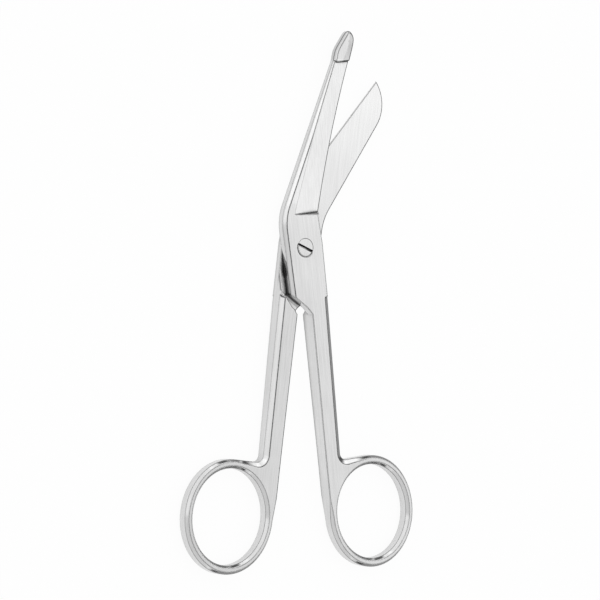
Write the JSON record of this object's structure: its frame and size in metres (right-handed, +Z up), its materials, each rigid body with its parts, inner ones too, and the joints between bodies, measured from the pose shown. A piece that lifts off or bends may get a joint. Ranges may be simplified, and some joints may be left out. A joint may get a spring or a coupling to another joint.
{
  "type": "bandage scissors",
  "caption": "Angled bandage scissors with a blunt probe on the long blade, a pointed short blade, a slotted joint screw and oval finger rings.",
  "frame": {"origin": "where the screw's axis meets the floor, on the back face of the joint that the scissors lie on", "axes": "+Y from the screw towards the blades, along the line that halves the angle between the handles; +Z up, along the screw's axis towards its slotted head; +X towards the front half's handle"},
  "size_m": [0.0926, 0.1807, 0.0058],
  "materials": {
    "blade_steel": "satin",
    "screw_steel": "satin"
  },
  "bodies": {
    "back": {"back_half": "blade_steel", "screw": "screw_steel"},
    "front": {"front_half": "blade_steel"}
  },
  "joints": [
    {"name": "blade_pivot", "type": "hinge", "parent": "back", "child": "front", "pos_m": [0, 0, 0.00292], "axis": [0, 0, 1], "range_deg": [-14.4, 45]}
  ]
}
